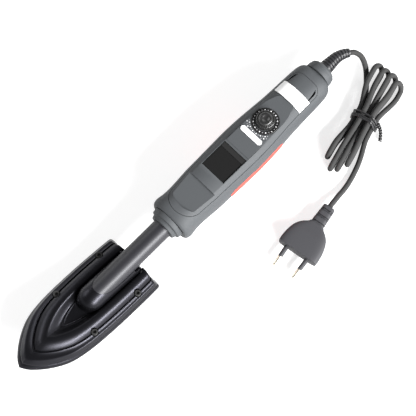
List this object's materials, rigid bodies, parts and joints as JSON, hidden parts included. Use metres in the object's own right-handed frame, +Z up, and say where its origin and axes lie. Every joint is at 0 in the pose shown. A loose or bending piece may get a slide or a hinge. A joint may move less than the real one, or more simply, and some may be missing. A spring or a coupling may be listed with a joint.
{
  "type": "sealing iron",
  "caption": "Hand-held covering iron with a pointed flat shoe on a bent shaft, a grip with display and temperature dial, and a tied mains cord with a two-pin plug.",
  "frame": {"origin": "middle of the base of the iron without its cord and plug, on the surface that it lies on", "axes": "+X along the shaft from the shoe's tip to the cord end of the handle, +Z up through the dial, +Y across the handle, away from the side on which the cord lies"},
  "size_m": [0.3816, 0.1335, 0.0452],
  "materials": {
    "shoe_black": "gloss black heat-proof coating",
    "tube_black": "gloss black",
    "sole_metal": "smooth black heat-proof coating",
    "screw_black": "black oxide",
    "steel": "zinc plated",
    "ceramic": "fired ceramic",
    "handle_grey": "fine texture",
    "fascia_grey": "smooth film",
    "window_black": "clear smoked, polished",
    "knob_black": "satin black",
    "inlay_red": "soft matte",
    "badge_white": "printed film",
    "label_white": "blank film",
    "board_green": "solder mask",
    "component_dark": "moulded",
    "wire_red": "silicone sleeve",
    "cord_black": "semi-gloss",
    "plug_black": "fine texture",
    "pin_nickel": "nickel plated"
  },
  "bodies": {
    "iron": {"sole_plate": "sole_metal", "shoe_cover": "shoe_black", "shoe_screw_1": "screw_black", "shoe_screw_2": "screw_black", "shoe_screw_3": "screw_black", "shoe_screw_4": "screw_black", "heater_element": "ceramic", "temperature_sensor": "steel", "heater_lead_left": "wire_red", "heater_lead_right": "wire_red", "sensor_lead": "wire_red", "shaft_tube": "tube_black", "nose_ring": "handle_grey", "shaft_bracket": "component_dark", "lower_shell": "handle_grey", "upper_shell": "handle_grey", "handle_screw_1": "steel", "handle_screw_2": "steel", "handle_screw_3": "steel", "handle_screw_4": "steel", "grip_inlay_left": "inlay_red", "grip_inlay_right": "inlay_red", "display_window": "window_black", "display_module": "component_dark", "fascia_panel": "fascia_grey", "scale_ring": "knob_black", "badge_plate": "badge_white", "rating_label": "label_white", "circuit_board": "board_green", "potentiometer": "steel", "terminal_block": "component_dark", "triac": "component_dark", "capacitor": "component_dark", "rear_collar": "handle_grey", "strain_relief": "cord_black", "cord_clamp": "component_dark", "clamp_screw_1": "steel", "clamp_screw_2": "steel", "cord_inner_end": "cord_black", "cord_lead_in": "cord_black", "cord_hank": "cord_black", "cord_tie": "cord_black", "cord_lead_out": "cord_black", "plug_body": "plug_black", "plug_relief": "plug_black", "plug_pin_left": "pin_nickel", "plug_pin_right": "pin_nickel", "plug_pin_sleeve_left": "plug_black", "plug_pin_sleeve_right": "plug_black"},
    "dial": {"dial_knob": "knob_black", "dial_spindle": "steel"}
  },
  "joints": [
    {"name": "dial_turn", "type": "hinge", "parent": "iron", "child": "dial", "pos_m": [0.08638, 0, 0.0373], "axis": [0, 0, 1], "range_deg": [-135, 135]}
  ]
}
